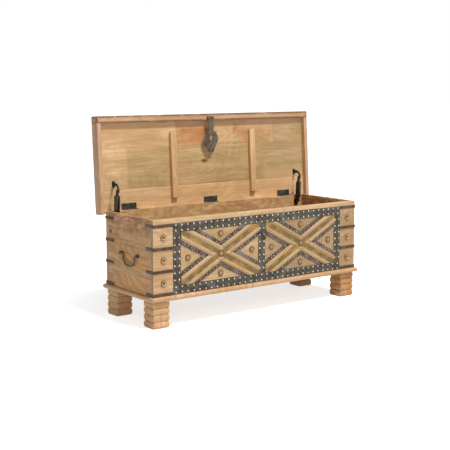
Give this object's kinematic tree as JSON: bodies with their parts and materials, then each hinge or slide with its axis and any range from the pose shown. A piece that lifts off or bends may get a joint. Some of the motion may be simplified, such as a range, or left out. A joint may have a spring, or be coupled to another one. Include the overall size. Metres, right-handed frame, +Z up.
{
  "type": "storage chest",
  "caption": "Footed wooden storage chest with iron strapwork, a hinged cap lid on folding stays, a hasp and staple, and drop handles at the ends.",
  "frame": {"origin": "on the floor, under the middle of the chest's outline with the lid open", "axes": "+X along the chest to its right end, +Y from its front to its back, +Z up"},
  "size_m": [1.126, 0.431, 0.809],
  "materials": {
    "chest_wood": "satin oiled boards with open grain",
    "lid_wood": "satin boards, honey tan with olive streaks",
    "leg_wood": "satin carved blocks",
    "carved_wood": "satin mouldings, darker in the groove",
    "dark_strap": "dark brown beaten sheet",
    "iron_band": "mottled grey-brown beaten sheet",
    "bright_nail": "polished heads",
    "forged_iron": "dull blackened iron",
    "gunmetal": "dark satin plate",
    "black_steel": "black, half gloss"
  },
  "bodies": {
    "chest": {"bottom_board": "chest_wood", "front_panel": "chest_wood", "back_panel": "chest_wood", "side_panel_left": "chest_wood", "side_panel_right": "chest_wood", "base_rail_front": "leg_wood", "base_rail_back": "leg_wood", "base_rail_left": "leg_wood", "base_rail_right": "leg_wood", "leg_front_left": "leg_wood", "leg_back_left": "leg_wood", "corner_straps_front_left": "dark_strap", "corner_straps_back_left": "dark_strap", "leg_front_right": "leg_wood", "leg_back_right": "leg_wood", "corner_straps_front_right": "dark_strap", "corner_straps_back_right": "dark_strap", "band_top": "iron_band", "band_bottom": "iron_band", "band_left": "iron_band", "band_right": "iron_band", "band_centre": "iron_band", "band_nails": "bright_nail", "cross_left_rising": "carved_wood", "cross_left_falling": "carved_wood", "sawtooth_left": "dark_strap", "cross_right_rising": "carved_wood", "cross_right_falling": "carved_wood", "sawtooth_right": "dark_strap", "cross_studs": "carved_wood", "corner_studs": "carved_wood", "staple": "forged_iron", "hinge_body_leaves": "gunmetal", "hinge_body_screws": "gunmetal", "hinge_pins": "gunmetal", "handle_eyes_left": "forged_iron", "stay_foot_left": "black_steel", "handle_eyes_right": "forged_iron", "stay_foot_right": "black_steel"},
    "lid": {"lid_plank_front": "lid_wood", "lid_plank_middle": "lid_wood", "lid_plank_back": "lid_wood", "lid_rim_front": "lid_wood", "lid_rim_left": "lid_wood", "lid_rim_right": "lid_wood", "lid_batten_left": "lid_wood", "lid_batten_right": "lid_wood", "hinge_lid_leaves": "gunmetal", "hinge_lid_screws": "gunmetal", "hasp_bracket": "forged_iron", "hasp_pin": "forged_iron", "stay_ear_left": "black_steel", "stay_ear_right": "black_steel"},
    "hasp": {"hasp_plate": "forged_iron"},
    "stay_damper_left": {"stay_damper_left": "black_steel"},
    "stay_arm_left": {"stay_arm_left": "black_steel"},
    "handle_left": {"handle_bail_left": "forged_iron"},
    "stay_damper_right": {"stay_damper_right": "black_steel"},
    "stay_arm_right": {"stay_arm_right": "black_steel"},
    "handle_right": {"handle_bail_right": "forged_iron"}
  },
  "joints": [
    {"name": "lid_hinge", "type": "hinge", "parent": "chest", "child": "lid", "pos_m": [0, 0.16452, 0.4232], "axis": [1, 0, 0], "range_deg": [0, 93.5]},
    {"name": "hasp_swing", "type": "hinge", "parent": "lid", "child": "hasp", "pos_m": [0, 0.16646, 0.79077], "axis": [1, 0, 0], "range_deg": [-102, 0]},
    {"name": "stay_foot_pivot_left", "type": "hinge", "parent": "chest", "child": "stay_damper_left", "pos_m": [-0.4968, 0.13352, 0.399], "axis": [1, 0, 0], "range_deg": [0, 93.5]},
    {"name": "stay_top_pivot_left", "type": "hinge", "parent": "lid", "child": "stay_arm_left", "pos_m": [-0.487, 0.15888, 0.53075], "axis": [1, 0, 0], "range_deg": [-93.5, 0]},
    {"name": "handle_swing_left", "type": "hinge", "parent": "chest", "child": "handle_left", "pos_m": [-0.538, -0.01948, 0.272], "axis": [0, 1, 0], "range_deg": [-3, 180]},
    {"name": "stay_foot_pivot_right", "type": "hinge", "parent": "chest", "child": "stay_damper_right", "pos_m": [0.4772, 0.13352, 0.399], "axis": [1, 0, 0], "range_deg": [0, 93.5]},
    {"name": "stay_top_pivot_right", "type": "hinge", "parent": "lid", "child": "stay_arm_right", "pos_m": [0.487, 0.15888, 0.53075], "axis": [1, 0, 0], "range_deg": [-93.5, 0]},
    {"name": "handle_swing_right", "type": "hinge", "parent": "chest", "child": "handle_right", "pos_m": [0.538, -0.01948, 0.272], "axis": [0, -1, 0], "range_deg": [-3, 180]}
  ],
  "couplings": [
    {"joint": "hasp_swing", "follows": "lid_hinge", "ratio": -1.09},
    {"joint": "stay_foot_pivot_left", "follows": "lid_hinge", "ratio": 1},
    {"joint": "stay_top_pivot_left", "follows": "lid_hinge", "ratio": -1},
    {"joint": "stay_foot_pivot_right", "follows": "lid_hinge", "ratio": 1},
    {"joint": "stay_top_pivot_right", "follows": "lid_hinge", "ratio": -1}
  ]
}
